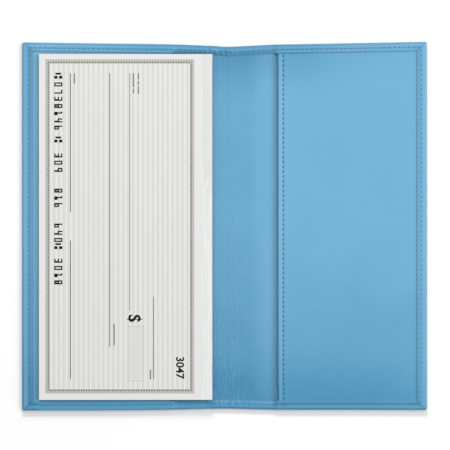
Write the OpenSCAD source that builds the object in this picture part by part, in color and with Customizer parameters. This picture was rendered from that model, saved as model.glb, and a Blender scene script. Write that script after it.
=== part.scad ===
/* [Check pad] */
// Length of a check
check_l = 152.4; // [120:0.1:240]
// Width of a check without its stub
check_w = 71.4; // [60:0.1:120]
// Width of the stub
stub_w = 4.9; // [4:0.1:10]
// Distance of the pad's bound edge from the middle of the spine
pad_edge_x = 5.5; // [5:0.1:8]
// Number of checks in the pad
check_count = 25; // [5:1:25]
// Thickness of a check
check_t = 0.1; // [0.08:0.01:0.1]
// Air between one check and the next
check_gap = 0.01; // [0.005:0.001:0.02]
// Thickness of the backing card
card_t = 0.4; // [0.2:0.05:0.4]
// Length over which the card bends up from the pocket to the checks
card_rise_w = 3.4; // [2:0.1:5]
// Thickness of the binding strip
strip_t = 0.1; // [0.05:0.01:0.15]
// Clearance between the card and the leather and thread it slides over
card_gap = 0.05; // [0.02:0.01:0.1]
// Clearance between the card's ends and the hem at the middle of the spine
card_end_gap = 0.1; // [0.05:0.05:3]

/* [Cover outline] */
// Clearance between the pad and the hem at the head and the foot, where they are nearest
pad_end_gap = 0.25; // [0.2:0.05:4]
// Distance between the pad and the hem at the fore edge
pad_fore_gap = 3.05; // [0.5:0.05:8]
// How much longer the cover is at its fore edges than beside the spine
fore_flare = 1.4; // [0:0.1:6]
// How much shorter the cover is along the middle of the spine than beside it
spine_draw = 1.3; // [0:0.1:3]
// Width of the stretch over which the spine is drawn in
waist_w = 34; // [24:1:36]
// Radius of the outer corners
corner_r = 1.6; // [1:0.1:4]

/* [Leather and linings] */
// Thickness of the exterior leather
leather_t = 0.8; // [0.6:0.1:1.4]
// Thickness of the exterior leather where it is skived for the hem
hem_t = 0.6; // [0.4:0.1:0.7]
// Thickness of the reinforcement sheet
reinforcement_t = 0.5; // [0.3:0.1:1]
// Thickness of the lining leather
lining_t = 0.4; // [0.3:0.1:0.8]
// Thickness of the pocket leather
pocket_t = 0.6; // [0.4:0.1:0.7]
// Thickness of the pocket leather where it is turned under at the mouth
turn_t = 0.4; // [0.3:0.1:0.6]

/* [Hem and seams] */
// Width of the hem along the head and the foot
hem_end_w = 4; // [3.8:0.1:4.2]
// Width of the hem along the fore edges
hem_fore_w = 4.5; // [4:0.1:7]
// Width of the pinched rim, where the seam holds all the layers together
pinch_w = 2.75; // [2.7:0.05:2.9]
// Distance of the rim seam from the inner side of the pinched rim
seam_back = 0.65; // [0.6:0.05:0.95]
// Length over which the hem steps up on to a pocket's field
step_w = 0.7; // [0.5:0.05:0.75]
// Length over which the hem climbs from the lining on to a pocket
climb_w = 2.5; // [1:0.1:2.8]
// Distance from stitch to stitch
stitch_pitch = 2.14; // [1.8:0.02:4]
// Length of thread that shows in a stitch
stitch_l = 1.5; // [0.8:0.1:1.6]
// Diameter of the thread
thread_d = 0.44; // [0.3:0.02:0.5]

/* [Pockets] */
// Distance of the pocket mouths from the middle of the spine
mouth_x = 23.5; // [21:0.5:35]
// Width of the leather turned under at a mouth
turn_w = 4; // [3:0.1:8]
// Distance of the mouth seam from the mouth
mouth_seam_inset = 2.5; // [1.5:0.1:2.7]

/* [Fold] */
// Thickness of the closed cover, outside to outside
closed_t = 10.6; // [10.6:0.1:16]

/* [Hidden] */

sky = [0.42, 0.66, 0.82];
lining_sky = [0.38, 0.63, 0.79];
thread_blue = [0.2, 0.42, 0.58];
sheet_grey = [0.62, 0.62, 0.6];
card_grey = [0.75, 0.72, 0.66];
paper_white = [0.93, 0.93, 0.92];
strip_white = [0.9, 0.93, 0.95];

// Outline: the cover is as wide and as long as its pad needs
pad_w = stub_w + check_w;
pad_x = pad_edge_x + pad_w;
fore_x = pad_x + pad_fore_gap + hem_fore_w;
waist_x = waist_w / 2;
mid_y = check_l / 2 + pad_end_gap + hem_end_w;

// Heights of the layers above the table
lining_z = leather_t + reinforcement_t;
floor_z = lining_z + lining_t;
slot_h = card_t + 2 * card_gap;
lift = slot_h + turn_t;
field_z = floor_z + lift + pocket_t;

// The fold lines lie level with the top of the spine's hem, half the spine's width off its middle
fold_z = floor_z + hem_t;
fold_x = closed_t / 2 - fold_z;

// The pocket lies this far inside the hem's step, which it follows
step_gap = 0.1;

// Depth of the rim's lofts, past the hem and the pocket's step
rim_w = 6;

// Distance of the rim seam from the edge
seam_inset = pinch_w - seam_back;

// Least radius of an inside corner
inner_r = 0.3;

// Round edge of the leather turned under at a pocket's mouth, and the skived end of the turn
nose_r = (pocket_t + turn_t) / 2;
nose_flat = 0.05;
skive_w = 1;

// The pocket's underside steps this far further in than its top, which keeps its thickness
pocket_slant = pocket_t * tan(atan(lift / step_w) / 2);

// Facets of a quarter turn at a corner, of the rim's half round, of the thread all round, of a
// pocket's nose, and of the drawn-in stretch
corner_facets = 4;
fold_facets = 8;
thread_facets = 8;
nose_facets = 3;
waist_facets = 5;

// Distance of the head's edge from the middle, over the distance from the spine
function head_y(x) =
    let (
        taper = max(0, x - waist_x) / (fore_x - waist_x),
        bell = (1 + cos(180 * min(1, abs(x) / waist_x))) / 2
    )
    mid_y + (fore_flare * taper - spine_draw * bell) / 2;

// What an inset of the head is at the fore edge, where the hem is wider
function fore_inset(inset) =
    inset + max(0, inset - pinch_w) * (hem_fore_w - hem_end_w) / (hem_end_w - pinch_w);

// A station on the head's edge at x, or at an angle round the outer corner. The third number
// says how far the rim has climbed on to the pocket, from 0 to 1
function on_head(x, climb) = [x, -1, climb];
function on_corner(angle) = [0, angle, 1];

// Point of the outline at a station, inset by a distance, on the side s of the middle
function edge_point(station, inset, s) =
    let (
        r = max(corner_r - inset, inner_r),
        x = fore_x - fore_inset(inset) - r,
        on_line = station[1] < 0
    )
    on_line
        ? [station[0], s * (head_y(station[0]) - inset)]
        : [x + r * cos(station[1]),
           s * (head_y(x) - inset - r + r * sin(station[1]))];

// Stations round the right half: head, corner, corner and foot, each with its side
corner_stations = [for (i = [0 : corner_facets]) on_corner(90 - 90 * i / corner_facets)];
cover_stations = concat(
    [for (i = [0 : waist_facets])
        on_head(fold_x + (waist_x - fold_x) * i / waist_facets, 0)],
    [on_head(mouth_x - climb_w, 0), on_head(mouth_x, 1)],
    corner_stations
);

function there_and_back(stations) = concat(
    [for (s = stations) [s, 1]],
    [for (i = [len(stations) - 1 : -1 : 0]) [stations[i], -1]]
);

// Distance of the fold's middle from the edge, which is half the rim's height
function fold_inset(climb) = (floor_z + pocket_t * climb + hem_t) / 2;

// Section of the turned edge, as [inset, z], from the top of the floor leather round the fold
// and over the hem, back round the outside to the underside
function turned_section(climb) =
    let (
        under = floor_z + pocket_t * climb,
        up = lift * climb,
        outer = fold_inset(climb),
        inner = (under - leather_t) / 2,
        slant = hem_t * tan(atan(up / step_w) / 2)
    )
    concat(
        [[rim_w, leather_t]],
        [for (i = [0 : fold_facets])
            let (a = 270 - 180 * i / fold_facets)
            [outer + inner * cos(a), leather_t + inner + inner * sin(a)]],
        [
            [pinch_w, under],
            [pinch_w + step_w, under + up],
            [hem_end_w, under + up],
            [hem_end_w, under + up + hem_t],
            [pinch_w + step_w - slant, under + up + hem_t],
            [pinch_w - slant, under + hem_t]
        ],
        [for (i = [0 : fold_facets])
            let (a = 90 + 180 * i / fold_facets)
            [outer + outer * cos(a), outer + outer * sin(a)]],
        [[rim_w, 0]]
    );

// Faces that close a ring made of a section of m points at the head and the same at the foot
function end_faces(m) = concat(
    [[0, m - 1, m, 2 * m - 1]],
    [for (k = [0 : m / 2 - 2])
        each [
            [k, k + 1, m - 2 - k, m - 1 - k],
            [m + k, m + k + 1, 2 * m - 2 - k, 2 * m - 1 - k]
        ]]
);

// One closed skin from a section carried round the edge: its two inner ends bound the field's
// top and underside, and its first and last stations bound the cut face at the spine
module edged_sheet(path, sections) {
    n = len(sections[0]);
    last = len(path) - 1;
    points = [
        for (j = [0 : last])
            for (k = [0 : n - 1])
                let (p = edge_point(path[j][0], sections[j][k][0], path[j][1]))
                [p[0], p[1], sections[j][k][1]]
    ];
    edge = [for (j = [0 : last - 1])
        for (k = [0 : n - 2])
            let (a = j * n + k, b = a + n)
            each [[a, a + 1, b + 1], [a, b + 1, b]]];
    field = [for (j = [0 : (last - 3) / 2]) n * [j, j + 1, last - 1 - j, last - j]];
    cut = [for (f = end_faces(n)) [for (k = f) k < n ? k : (last + 2) * n - 1 - k]];
    polyhedron(
        points,
        concat(
            edge,
            field,
            [for (f = field) [for (k = [3 : -1 : 0]) f[k] + n - 1]],
            [for (f = cut) [for (k = [3 : -1 : 0]) f[k]]]
        )
    );
}

// Exterior leather of the right cover, with its hems
module cover_leather() {
    path = there_and_back(cover_stations);
    edged_sheet(path, [for (p = path) turned_section(p[0][2])]);
}

// One closed skin through rings of points, each across the cover at its own x
module loft(rings) {
    n = len(rings[0]);
    last = (len(rings) - 1) * n;
    side = [for (j = [n : n : last])
        for (k = [0 : n - 1])
            let (a = j - n + k, next = j - n + (k + 1) % n)
            each [[a, next, next + n], [a, next + n, a + n]]];
    ends = end_faces(n / 2);
    polyhedron(
        [for (r = rings) each r],
        concat(
            side,
            [for (f = ends) [for (k = [3 : -1 : 0]) f[k]]],
            [for (f = ends) [for (k = f) last + k]]
        )
    );
}

// Ring at x with the same section, as [inset, z], at the head and at the foot
function ring_across(x, section) = concat(
    [for (p = section) [x, head_y(x) - p[0], p[1]]],
    [for (k = [len(section) - 1 : -1 : 0]) [x, section[k][0] - head_y(x), section[k][1]]]
);

// Places across the spine strip
strip_xs = [for (i = [-2 : 2]) fold_x * i / 2];

// Exterior leather of the spine, with its hems
module strip_leather() {
    loft([for (x = strip_xs) ring_across(x, turned_section(0))]);
}

// A flat sheet that fills the right cover inside the fold
module cover_sheet(z, t) {
    path = there_and_back(cover_stations);
    translate([0, 0, z])
        linear_extrude(t)
            polygon([for (p = path) edge_point(p[0], fold_inset(p[0][2]), p[1])]);
}

// The same sheet across the spine
module strip_sheet(z, t) {
    translate([0, 0, z])
        linear_extrude(t)
            polygon(concat(
                [for (x = strip_xs) [x, head_y(x) - fold_inset(0)]],
                [for (x = strip_xs) [-x, fold_inset(0) - head_y(x)]]
            ));
}

// Section of a pocket's sewn rim, as [inset, z], between the top and underside of its field
function pocket_section(edge, top, bottom) =
    let (step = pinch_w + step_gap)
    [
        [step + step_w, top],
        [step, floor_z + pocket_t],
        [edge, floor_z + pocket_t],
        [edge, floor_z],
        [step + pocket_slant, floor_z],
        [step + step_w + pocket_slant, bottom]
    ];

// Places where the pocket's field steps down to its rim at the fore edge
step_x = fore_x - fore_inset(pinch_w + step_gap);
field_x = fore_x - fore_inset(pinch_w + step_gap + step_w);
rim_x = fore_x - fold_inset(1);

// Top and underside of the pocket at x: a round nose, the leather turned under with its
// skived end, the field, and the step down to the rim
function nose_h(x) =
    let (past = min(nose_r, x - mouth_x))
    max(nose_flat, sqrt(nose_r * nose_r - pow(nose_r - past, 2)));
function pocket_top(x) =
    field_z - nose_r + nose_h(x)
    - lookup(x, [[field_x, 0], [step_x, lift]]);
function pocket_underside(x) = x < mouth_x + nose_r
    ? field_z - nose_r - nose_h(x)
    : lookup(x, [
        [mouth_x + turn_w - skive_w, floor_z + slot_h],
        [mouth_x + turn_w, floor_z + lift],
        [field_x - pocket_slant, floor_z + lift],
        [step_x - pocket_slant, floor_z]
    ]);

// Pocket of the right cover: sewn down on three sides, and turned under along its mouth
module cover_pocket() {
    xs = concat(
        [for (i = [0 : nose_facets]) mouth_x + nose_r * (1 - cos(90 * i / nose_facets))],
        [mouth_x + turn_w - skive_w, mouth_x + turn_w],
        [field_x - pocket_slant, field_x, step_x - pocket_slant, step_x],
        [rim_x - inner_r, rim_x]
    );
    loft([
        for (x = xs)
            ring_across(x, pocket_section(
                fold_inset(1) + max(0, x - rim_x + inner_r),
                pocket_top(x),
                pocket_underside(x)
            ))
    ]);
}

// Thread of one stitch, lying along x on the leather below it
module stitch() {
    rotate([90, 0, 90])
        linear_extrude(stitch_l, center = true)
            intersection() {
                circle(d = thread_d, $fn = thread_facets);
                translate([-thread_d, 0])
                    square([2 * thread_d, thread_d]);
            }
}

// Height of the rim's top over x, where the seam lies
function seam_z(x) =
    fold_z + pocket_t * min(1, max(0, (x - mouth_x + climb_w) / climb_w));

// Row of stitches along the head at a distance from the edge, between two places
module head_row(from_x, to_x) {
    count = floor((to_x - from_x) / stitch_pitch);
    pitch = (to_x - from_x) / count;
    for (i = [0 : count - 1]) {
        x = from_x + (i + 0.5) * pitch;
        run = stitch_l / 2;
        z1 = seam_z(x - run);
        z2 = seam_z(x + run);
        dy = head_y(x + run) - head_y(x - run);
        translate([x, head_y(x) - seam_inset, max(seam_z(x), (z1 + z2) / 2)])
            rotate([0, -atan((z2 - z1) / stitch_l), atan(dy / stitch_l)])
                stitch();
    }
}

// Row of stitches along y between two places at x, on top of z
module long_row(x, half, z) {
    count = floor(2 * half / stitch_pitch);
    pitch = 2 * half / count;
    for (i = [0 : count - 1])
        translate([x, -half + (i + 0.5) * pitch, z])
            rotate([0, 0, 90])
                stitch();
}

// Rim seam of the right cover
module cover_rim_stitching() {
    end_x = fore_x - seam_inset;
    for (s = [0, 1])
        mirror([0, s, 0])
            head_row(fold_x, end_x);
    long_row(end_x, head_y(end_x) - seam_inset - thread_d, floor_z + pocket_t + hem_t);
}

// Seam along the right pocket's mouth
module cover_pocket_stitching() {
    long_row(mouth_x + mouth_seam_inset, head_y(mouth_x) - hem_end_w, field_z);
}

// Heights in the pad, and half the length of its card
tongue_z = floor_z + card_gap;
card_z = field_z + thread_d / 2 + card_gap;
card_y = check_l / 2 + pad_end_gap - spine_draw / 2 - card_end_gap;
pad_z = card_z + card_t;

module left_leather() {
    color(sky)
        mirror([1, 0, 0])
            cover_leather();
}

module right_leather() {
    color(sky)
        cover_leather();
}

module spine_leather() {
    color(sky)
        strip_leather();
}

module left_reinforcement() {
    color(sheet_grey)
        mirror([1, 0, 0])
            cover_sheet(leather_t, reinforcement_t);
}

module right_reinforcement() {
    color(sheet_grey)
        cover_sheet(leather_t, reinforcement_t);
}

module spine_reinforcement() {
    color(sheet_grey)
        strip_sheet(leather_t, reinforcement_t);
}

module left_lining() {
    color(lining_sky)
        mirror([1, 0, 0])
            cover_sheet(lining_z, lining_t);
}

module right_lining() {
    color(lining_sky)
        cover_sheet(lining_z, lining_t);
}

module spine_lining() {
    color(lining_sky)
        strip_sheet(lining_z, lining_t);
}

module left_pocket() {
    color(sky)
        mirror([1, 0, 0])
            cover_pocket();
}

module right_pocket() {
    color(sky)
        cover_pocket();
}

module left_rim_stitching() {
    color(thread_blue)
        mirror([1, 0, 0])
            cover_rim_stitching();
}

module right_rim_stitching() {
    color(thread_blue)
        cover_rim_stitching();
}

module spine_rim_stitching() {
    color(thread_blue)
        for (s = [0, 1])
            mirror([0, s, 0])
                head_row(-fold_x, fold_x);
}

module left_pocket_stitching() {
    color(thread_blue)
        mirror([1, 0, 0])
            cover_pocket_stitching();
}

module right_pocket_stitching() {
    color(thread_blue)
        cover_pocket_stitching();
}

// Card under the checks: its tongue lies in the left pocket and it bends up past the mouth
module backing_card() {
    bend = mouth_x - nose_r - step_gap;
    color(card_grey)
        rotate([90, 0, 0])
            linear_extrude(2 * card_y, center = true)
                polygon([
                    [-pad_x, tongue_z],
                    [-bend, tongue_z],
                    [card_rise_w - bend, card_z],
                    [-pad_edge_x, card_z],
                    [-pad_edge_x, card_z + card_t],
                    [card_rise_w - bend, card_z + card_t],
                    [-bend, tongue_z + card_t],
                    [-pad_x, tongue_z + card_t]
                ]);
}

// Check number i of the pad, counted from the card
module check(i) {
    translate([-pad_x, -check_l / 2, pad_z + check_gap + i * (check_t + check_gap)])
        cube([pad_w, check_l, check_t]);
}

module check_leaves() {
    color(paper_white)
        for (i = [0 : check_count - 2])
            check(i);
}

module top_check() {
    color(paper_white)
        check(check_count - 1);
}

// Strip folded round the stub, from the card's underside to the top check
module binding_strip() {
    top = pad_z + check_count * (check_t + check_gap);
    color(strip_white)
        rotate([90, 0, 0])
            linear_extrude(check_l, center = true)
                polygon([
                    [-pad_edge_x - stub_w, top],
                    [-pad_edge_x - stub_w, top + strip_t],
                    [strip_t - pad_edge_x, top + strip_t],
                    [strip_t - pad_edge_x, card_z],
                    [-pad_edge_x, card_z],
                    [-pad_edge_x, top]
                ]);
}

left_leather();
spine_leather();
right_leather();
left_reinforcement();
spine_reinforcement();
right_reinforcement();
left_lining();
spine_lining();
right_lining();
left_pocket();
right_pocket();
left_rim_stitching();
spine_rim_stitching();
right_rim_stitching();
left_pocket_stitching();
right_pocket_stitching();
backing_card();
check_leaves();
top_check();
binding_strip();
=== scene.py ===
"""Looks of the checkbook cover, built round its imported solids.

Lengths are in millimetres until a piece is finished, and heights are above the table. X runs
across the open cover with the spine at 0, and Y from its foot to its head.
"""

import math
import random

import bmesh
import bpy
from mathutils import Matrix, Vector, noise


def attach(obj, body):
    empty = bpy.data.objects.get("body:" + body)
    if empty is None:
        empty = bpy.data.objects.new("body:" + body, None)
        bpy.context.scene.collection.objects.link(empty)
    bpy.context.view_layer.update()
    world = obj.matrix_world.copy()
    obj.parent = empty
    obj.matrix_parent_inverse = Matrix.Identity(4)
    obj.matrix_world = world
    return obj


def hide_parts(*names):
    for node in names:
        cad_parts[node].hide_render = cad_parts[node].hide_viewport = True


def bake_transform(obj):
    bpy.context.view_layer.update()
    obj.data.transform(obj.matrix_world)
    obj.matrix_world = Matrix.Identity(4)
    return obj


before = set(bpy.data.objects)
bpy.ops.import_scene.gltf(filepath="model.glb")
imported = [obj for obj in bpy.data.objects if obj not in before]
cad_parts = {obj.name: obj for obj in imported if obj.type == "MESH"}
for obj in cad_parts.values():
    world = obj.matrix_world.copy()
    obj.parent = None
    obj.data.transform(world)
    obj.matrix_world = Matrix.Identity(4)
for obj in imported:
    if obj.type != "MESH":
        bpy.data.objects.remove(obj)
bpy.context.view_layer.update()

MM = 0.001

# Sizes of the cover

# Half the width of the open cover
FORE_X = 89.35
# Width of the hem at the head and the foot, and at the fore edges, where it is wider from the
# inset RIM_SPLIT inwards
HEM_END_W = 4
HEM_FORE_W = 4.5
RIM_SPLIT = 2.75
# Radius of the corners, and the least one further in
CORNER_R = 0.9
INNER_R = 0.3
# The sheets inside the fold end at this distance from the edge
SHEET_INSET = 1.45

LEATHER_T = 0.8
HEM_T = 0.6
REINFORCEMENT_T = 0.5
LINING_T = 0.4
LINING_Z = LEATHER_T + REINFORCEMENT_T
# The floor of the pockets
FLOOR_Z = LINING_Z + LINING_T
POCKET_T = 0.6
TURN_T = 0.4
# A pocket's field: its distance from the floor, its top, and the slope up to it
LIFT = 0.9
FIELD_Z = FLOOR_Z + LIFT + POCKET_T
SLOPE_INSET = 2.2
SLOPE_W = 1.4
# The rim climbs on to a pocket over this length
CLIMB_W = 2.5

# A pocket's mouth: distance from the spine, radius of its nose, width that is turned under, and
# distance of its seam
MOUTH_X = 23.5
NOSE_R = (POCKET_T + TURN_T) / 2
TURN_W = 4.2
MOUTH_SEAM = 2.35
# The right one lifts by this much, and less and less this far into the pocket
MOUTH_GAPE = 0.24
GAPE_REACH = 11

# Distance of the rim seam from the edge, at the head and the foot and at the fore edges
RIM_SEAM = 2.3
FORE_SEAM = 2.6
STITCH_PITCH = 2.14
STITCH_L = 1.4
THREAD_R = 0.21
MOUTH_STITCH_L = 1.35
MOUTH_THREAD_R = 0.29

# Thickness of the hem's inner edge at the ends and at the fore edges, and width of its fold
LIP_T = 0.2
FORE_LIP_T = 0.45
FOLD_R = 0.6

# Outline of the head and of the foot: (x, distance from the middle)
HEAD_LINE = [(-FORE_X, 81.45), (-54.7, 80.97), (-23.8, 80.55), (-6.1, 79.93), (1.8, 79.51)]
HEAD_LINE += [(11.5, 79.95), (22.6, 80.47), (33.6, 80.65), (FORE_X, 81.7)]
FOOT_LINE = [(-FORE_X, 81), (-54.7, 80.95), (-23.8, 80.66), (-6.1, 80.24), (1.8, 80.17)]
FOOT_LINE += [(11.5, 80.41), (22.6, 80.64), (55.7, 80.66), (FORE_X, 80.79)]


def ease(t):
    """Smooth step from 0 to 1."""
    t = min(1, max(0, t))
    return t * t * (3 - 2 * t)


def mix(a, b, t):
    """The value a share t of the way from a to b."""
    return a + (b - a) * t


def bump_at(x, centre, width):
    """Bell of height 1."""
    return math.exp(-(((x - centre) / width) ** 2))


def through(points, x):
    """Smooth curve through points (x, value), straight past its ends."""
    last = len(points) - 1
    k = max(0, min(last - 1, sum(1 for p in points if p[0] <= x) - 1))

    def tangent(i):
        before, after = points[max(0, i - 1)], points[min(last, i + 1)]
        return (after[1] - before[1]) / (after[0] - before[0])

    (xa, a), (xb, b) = points[k], points[k + 1]
    w = xb - xa
    t = min(1, max(0, (x - xa) / w))
    u = 1 - t
    return (
        a * (1 + 2 * t) * u * u
        + b * t * t * (3 - 2 * t)
        + w * t * u * (u * tangent(k) - t * tangent(k + 1))
    )


def outline(x, side):
    """Distance of the cover's edge from the middle at x, at the head (1) or the foot (-1)."""
    return through(HEAD_LINE if side > 0 else FOOT_LINE, x)


def fore_inset(inset):
    """What an inset of the head is at the fore edges, where the hem is wider."""
    widened = HEM_FORE_W - HEM_END_W - (FORE_SEAM - RIM_SEAM)
    return (
        inset
        + (FORE_SEAM - RIM_SEAM) * ease((inset - 1) / (RIM_SEAM - 1))
        + max(0, inset - RIM_SPLIT) * widened / (HEM_END_W - RIM_SPLIT)
    )


def climb_at(x):
    """How far the rim has climbed from the lining on to a pocket, from 0 to 1."""
    return ease((abs(x) - MOUTH_X + CLIMB_W) / CLIMB_W)


def slope(inset):
    """How far a pocket has risen from the sewn rim to its field, from 0 to 1."""
    return ease((inset - SLOPE_INSET) / SLOPE_W)


def rise(inset, climb):
    """Height of the pocket's slope inside the sewn rim."""
    return LIFT * climb * slope(inset)


def mouth_gape(half, depth, end):
    """Lift of a pocket's leather at a depth from its mouth, and a distance from the cover's head
    or foot. Only the right pocket, whose half is 1, gapes."""
    if half < 0:
        return 0
    return MOUTH_GAPE * (1 - ease(depth / GAPE_REACH)) * ease((end - 4) / 9)


def ripple(x, y, z):
    """Even noise round 0."""
    return noise.noise(Vector((x, y, z)))


def spread(low, high, count):
    """Numbers from low to high in even steps."""
    return [mix(low, high, i / count) for i in range(count + 1)]


# Making pieces


def lay_grid(columns, rows, place):
    """Grid whose vertices go where place(column, row) says."""
    bm = bmesh.new()
    bmesh.ops.create_grid(bm, x_segments=len(columns) - 1, y_segments=len(rows) - 1, size=0.5)
    for v in bm.verts:
        i = round((v.co.x + 0.5) * (len(columns) - 1))
        j = round((v.co.y + 0.5) * (len(rows) - 1))
        v.co = Vector(place(columns[i], rows[j]))
    bm.verts.ensure_lookup_table()
    return bm


def add_object(name, data):
    made = bpy.data.objects.new(name, data)
    bpy.context.scene.collection.objects.link(made)
    return made


def mesh_of(name, bm):
    """A mesh from a bmesh, which is used up."""
    mesh = bpy.data.meshes.new(name)
    bm.to_mesh(mesh)
    bm.free()
    return mesh


def finish_mesh(name, bm, material, flat=False):
    """A piece from a mesh in millimetres, which remembers where each point is at rest."""
    bmesh.ops.scale(bm, vec=(MM, MM, MM), verts=bm.verts)
    mesh = mesh_of(name, bm)
    for polygon in mesh.polygons:
        polygon.use_smooth = not flat
    rest = mesh.attributes.new("rest", "FLOAT_VECTOR", "POINT")
    for v, at in zip(mesh.vertices, rest.data):
        at.vector = v.co
    mesh.materials.append(material)
    piece = add_object(name, mesh)
    return piece


def add_tone_and_painted_light(piece, tone_and_light_at):
    """Gives each point of a piece its tone and painted light, from its place in millimetres: above
    0 it is paler, below 0 darker.
    """
    tone_and_painted_light = piece.data.attributes.new("tone_and_painted_light", "FLOAT", "POINT")
    for v, at in zip(piece.data.vertices, tone_and_painted_light.data):
        at.value = tone_and_light_at(*(v.co / MM))


def thicken(bm, faces, thickness, up=True):
    """Gives a sheet its thickness, below its faces where they point up and above them if not."""
    bmesh.ops.recalc_face_normals(bm, faces=faces)
    if (sum(f.normal.z for f in faces) > 0) != up:
        bmesh.ops.reverse_faces(bm, faces=faces)
    bmesh.ops.solidify(bm, geom=faces, thickness=thickness)
    bmesh.ops.recalc_face_normals(bm, faces=bm.faces)


def bend_at_spine(piece):
    """Bakes the transform of a piece that reaches over both covers into its mesh."""
    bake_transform(piece)


def close_loops(bm):
    """Caps what is still open and points the faces outwards."""
    bmesh.ops.holes_fill(bm, edges=[e for e in bm.edges if e.is_boundary], sides=0)
    bmesh.ops.recalc_face_normals(bm, faces=bm.faces)


def sharpen(piece, degrees=40):
    """Keeps crisp edges crisp on a smooth piece."""
    piece.data.set_sharp_from_angle(angle=math.radians(degrees))


# Materials


class Finish:
    """A material's node tree, built one node at a time."""

    def __init__(self, name):
        self.material = bpy.data.materials.new(name)
        self.material.use_nodes = True
        self.tree = self.material.node_tree
        self.shader = self.tree.nodes["Principled BSDF"]

    def feed(self, node, inputs):
        for key, value in inputs.items():
            if isinstance(value, bpy.types.NodeSocket):
                self.tree.links.new(value, node.inputs[key])
            else:
                node.inputs[key].default_value = value

    def node(self, kind, inputs, **settings):
        """A new node with its settings, and its inputs linked or filled."""
        made = self.tree.nodes.new(kind)
        for key, value in settings.items():
            setattr(made, key, value)
        self.feed(made, inputs)
        return made

    def attribute(self, name, output="Fac"):
        return self.node("ShaderNodeAttribute", {}, attribute_name=name).outputs[output]

    def place(self, scale=(1, 1, 1), turn=0):
        """Coordinates of the piece at rest in millimetres, times a scale."""
        inputs = {
            "Vector": self.attribute("rest", "Vector"),
            "Rotation": (0, 0, turn),
            "Scale": tuple(1000 * s for s in scale),
        }
        return self.node("ShaderNodeMapping", inputs).outputs["Vector"]

    def noise(self, vector, scale, detail=2, rough=0.5):
        inputs = {"Vector": vector, "Scale": scale, "Detail": detail, "Roughness": rough}
        return self.node("ShaderNodeTexNoise", inputs).outputs["Fac"]

    def cells(self, vector, scale, feature):
        inputs = {"Vector": vector, "Scale": scale}
        return self.node("ShaderNodeTexVoronoi", inputs, feature=feature).outputs["Distance"]

    def math(self, operation, a, b=0, c=0, clamp=False):
        inputs = {0: a, 1: b, 2: c}
        made = self.node("ShaderNodeMath", inputs, operation=operation, use_clamp=clamp)
        return made.outputs[0]

    def span(self, value, low, high, to_low=0, to_high=1):
        """Smooth step from to_low to to_high, as the value goes from low to high."""
        keys = ("Value", "From Min", "From Max", "To Min", "To Max")
        inputs = dict(zip(keys, (value, low, high, to_low, to_high)))
        made = self.node("ShaderNodeMapRange", inputs, interpolation_type="SMOOTHSTEP")
        return made.outputs["Result"]

    def blend(self, factor, a, b):
        inputs = {0: factor, 6: a, 7: b}
        return self.node("ShaderNodeMix", inputs, data_type="RGBA").outputs[2]

    def product(self, a, b):
        return self.math("MULTIPLY", a, b)

    def length(self, a, b):
        """Length of a vector from its two parts."""
        return self.math("SQRT", self.math("ADD", self.product(a, a), self.product(b, b)))

    def relief(self, height, distance, strength=1, under=None):
        """Bump from a height, on top of the bump under it if there is one."""
        inputs = {"Height": height, "Distance": distance, "Strength": strength}
        if under is not None:
            inputs["Normal"] = under
        return self.node("ShaderNodeBump", inputs).outputs["Normal"]

    def axes(self, vector):
        return self.node("ShaderNodeSeparateXYZ", {0: vector}).outputs[:]

    def dress(self, **inputs):
        """Fills the shader's sockets, and gives the finished material."""
        self.feed(self.shader, {k.replace("_", " "): v for k, v in inputs.items()})
        return self.material


def rgb(red, green, blue):
    """A colour from its screen values of 0 to 255."""
    linear = [
        c / 12.92 if c <= 0.04045 else ((c + 0.055) / 1.055) ** 2.4
        for c in (v / 255 for v in (red, green, blue))
    ]
    return (*linear, 1)


def painted_shade_and_deeper_tone(finish, across, along, lining):
    """How much deeper the colour is: painted shade towards the foot and round the head of the
    spine, deeper at the left fore edge, and in the lining deeper by the spine and paler further
    out."""
    # Painted shade that deepens the colour towards the foot, less at the right fore edge
    far_foot = finish.product(
        finish.span(along, -50, -80, 0, 0.62), finish.span(across, 60, 88, 1, 0.5)
    )
    foot = finish.math("ADD", finish.span(along, 2, -60, 0, 0.38), far_foot)
    # Painted shade round the head of the spine
    off_x = finish.math("DIVIDE", finish.math("SUBTRACT", across, 4), 100)
    off_y = finish.math("DIVIDE", finish.math("SUBTRACT", along, 84), 30)
    shade_by_spine_head = finish.span(finish.length(off_x, off_y), 1, 0.05, 0, 0.75)
    painted_shade_and_tone = finish.math("MAXIMUM", foot, shade_by_spine_head)
    painted_shade_and_tone = finish.math("ADD", painted_shade_and_tone, finish.span(across, -83.5, -87, 0, 0.26))
    if lining:
        painted_shade_and_tone = finish.math("ADD", painted_shade_and_tone, finish.span(across, 10, 19, 0.2, -0.16))
    return painted_shade_and_tone


def painted_light_on_foot_hem(finish, across, along, up):
    """Painted light on the left cover's hem at the foot beside the pad, against the pad's shadow
    there.
    """
    on_hem = finish.product(finish.span(along, -75.8, -76.8), finish.span(up, 1.2, 1.8))
    by_pad = finish.product(finish.span(across, -4, -8, 0, 0.6), finish.span(across, -83.5, -81))
    return finish.product(on_hem, by_pad)


def spine_flecks(finish, across, along, colour, normal):
    """Small lengthwise wrinkles in the lining where it bends, with their paler crests."""
    flecks = finish.noise(finish.place((2.5, 0.42, 1)), 1, 1.5, 0.5)
    folds = finish.noise(finish.place((0.9, 0.06, 1)), 1, 3, 0.6)
    near = finish.product(finish.span(across, 17, 4, 0.2, 1), finish.span(along, 60, -78, 0.4, 1))
    height = finish.math("MULTIPLY_ADD", flecks, 1, finish.product(folds, 0.6))
    normal = finish.relief(finish.product(height, near), 0.00012, 1, normal)
    crests = finish.product(finish.span(flecks, 0.5, 0.7, 0, 0.15), near)
    return finish.blend(crests, colour, PALE_SKY), normal


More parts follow.
